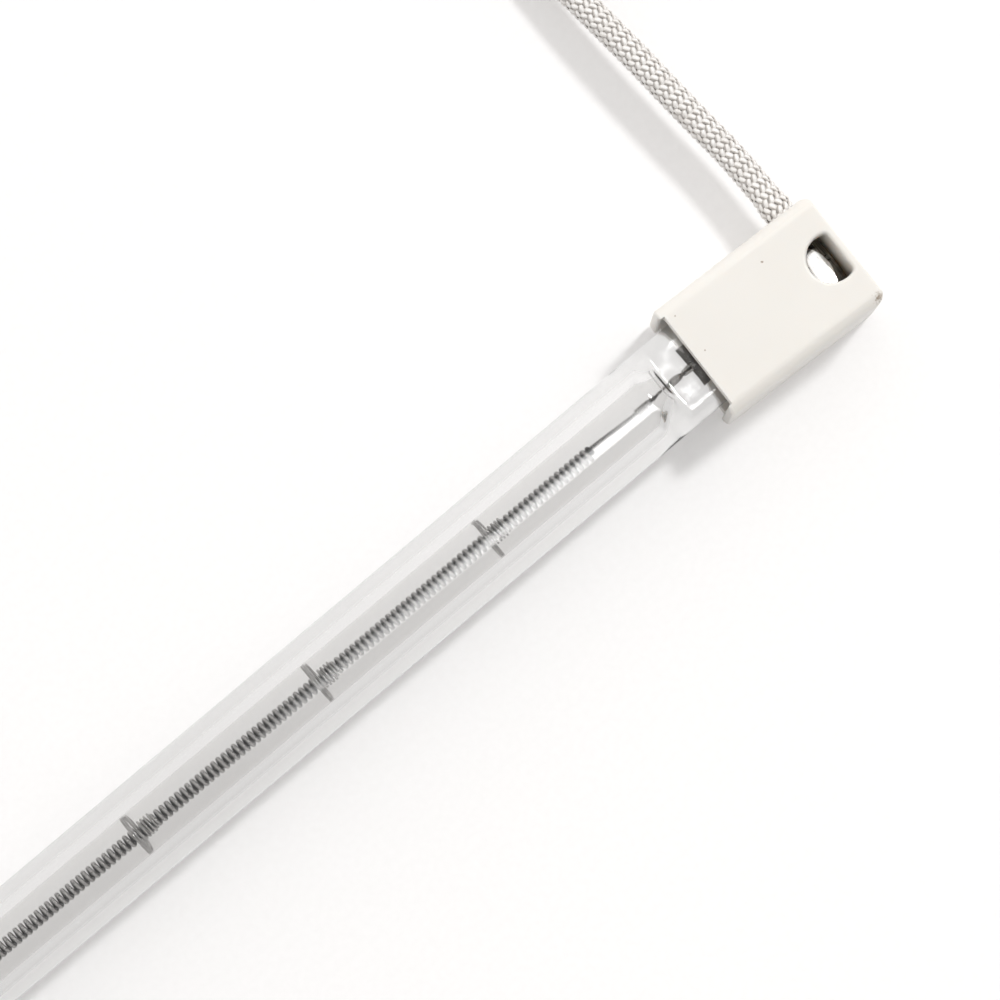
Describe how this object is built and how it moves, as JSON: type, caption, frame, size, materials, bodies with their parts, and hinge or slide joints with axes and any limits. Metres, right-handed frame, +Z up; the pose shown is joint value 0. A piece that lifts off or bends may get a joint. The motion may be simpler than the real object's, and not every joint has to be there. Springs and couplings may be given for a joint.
{
  "type": "quartz heating tube",
  "caption": "Clear quartz heating tube with a coiled filament on wire supports, pressed ends in white ceramic caps, and a braided lead that leaves one cap sideways.",
  "frame": {"origin": "midway between the two caps, on the surface that they stand on", "axes": "+X along the tube towards the end with the lead, +Y the way that the lead leaves its cap, +Z up, out of the caps' windows"},
  "size_m": [0.2424, 0.0842, 0.0104],
  "materials": {
    "quartz": "clear fused quartz, fire-polished",
    "tungsten": "drawn tungsten, dull grey",
    "support_wire": "drawn tungsten, slightly shiny",
    "molybdenum": "rolled and drawn molybdenum",
    "cement": "matt refractory cement",
    "cap_ceramic": "glazed white steatite",
    "crimp_metal": "bright nickel plate, scratched",
    "strand": "nickel-plated strands",
    "glass_braid": "braided glass fibre",
    "tie": "soft white band"
  },
  "bodies": {
    "root": {"quartz_tube": "quartz", "filament": "tungsten", "filament_support_1": "support_wire", "filament_support_2": "support_wire", "filament_support_3": "support_wire", "filament_support_4": "support_wire", "filament_support_5": "support_wire", "filament_support_6": "support_wire", "inner_lead_right": "molybdenum", "inner_lead_left": "molybdenum", "seal_foil_right": "molybdenum", "seal_foil_left": "molybdenum", "outer_pin_right": "molybdenum", "outer_pin_left": "molybdenum", "cement_right": "cement", "cement_left": "cement", "end_cap_right": "cap_ceramic", "end_cap_left": "cap_ceramic", "crimp_sleeve_right": "crimp_metal", "crimp_sleeve_left": "crimp_metal", "lead_conductor": "strand", "braided_lead": "glass_braid", "lead_coil": "glass_braid", "lead_tie": "tie", "lead_ferrule": "crimp_metal"}
  },
  "joints": []
}
